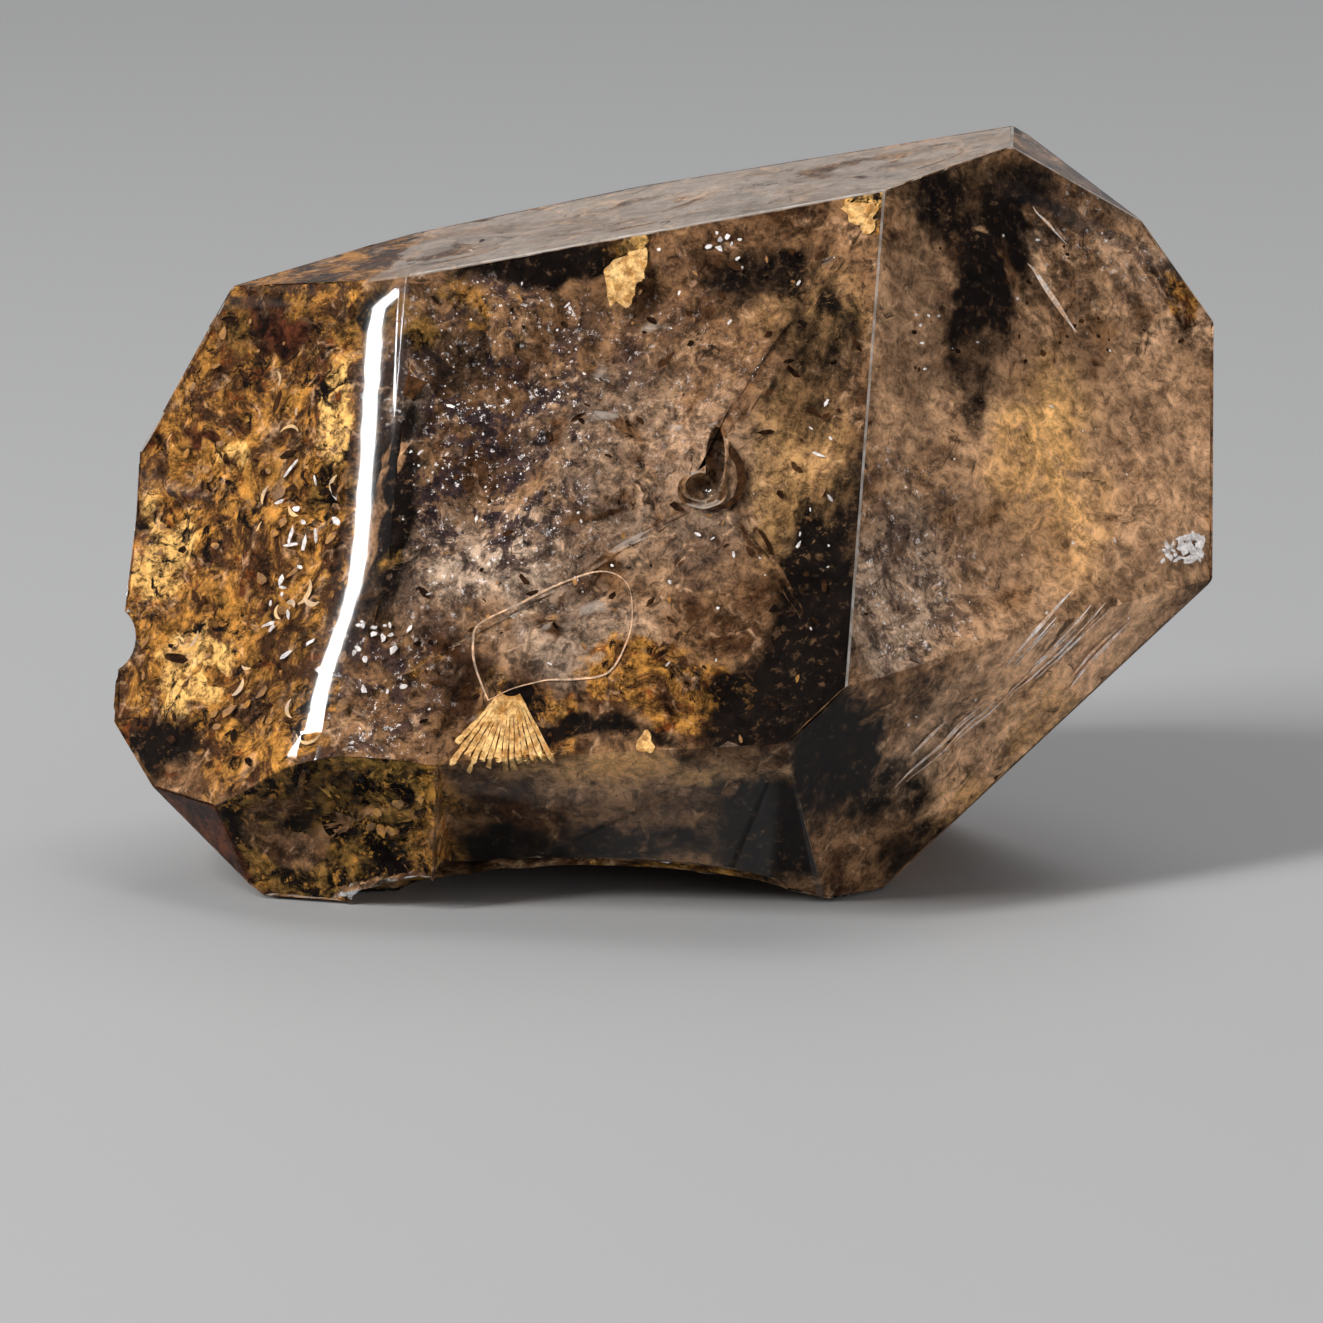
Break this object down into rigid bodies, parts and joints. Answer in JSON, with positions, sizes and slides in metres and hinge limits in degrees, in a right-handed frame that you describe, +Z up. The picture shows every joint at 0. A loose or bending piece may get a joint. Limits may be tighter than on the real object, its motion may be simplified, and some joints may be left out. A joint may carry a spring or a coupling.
{
  "type": "smoky quartz crystal",
  "caption": "Single smoky quartz crystal lying on its side, with flat prism and tip faces, a polished bowed root face and a hollow underside.",
  "frame": {"origin": "on the surface that the crystal lies on, under the centre of its bounding box", "axes": "+X along the crystal's length, from the broken root to the six-sided tip; +Z up; -Y is the side with the large front prism face"},
  "size_m": [0.086, 0.0542, 0.0564],
  "materials": {
    "smoky_quartz": "polished, smoky grey-brown, translucent, with cloudy veils and golden iron stain inside"
  },
  "bodies": {
    "root": {"smoky_quartz_crystal": "smoky_quartz"}
  },
  "joints": []
}
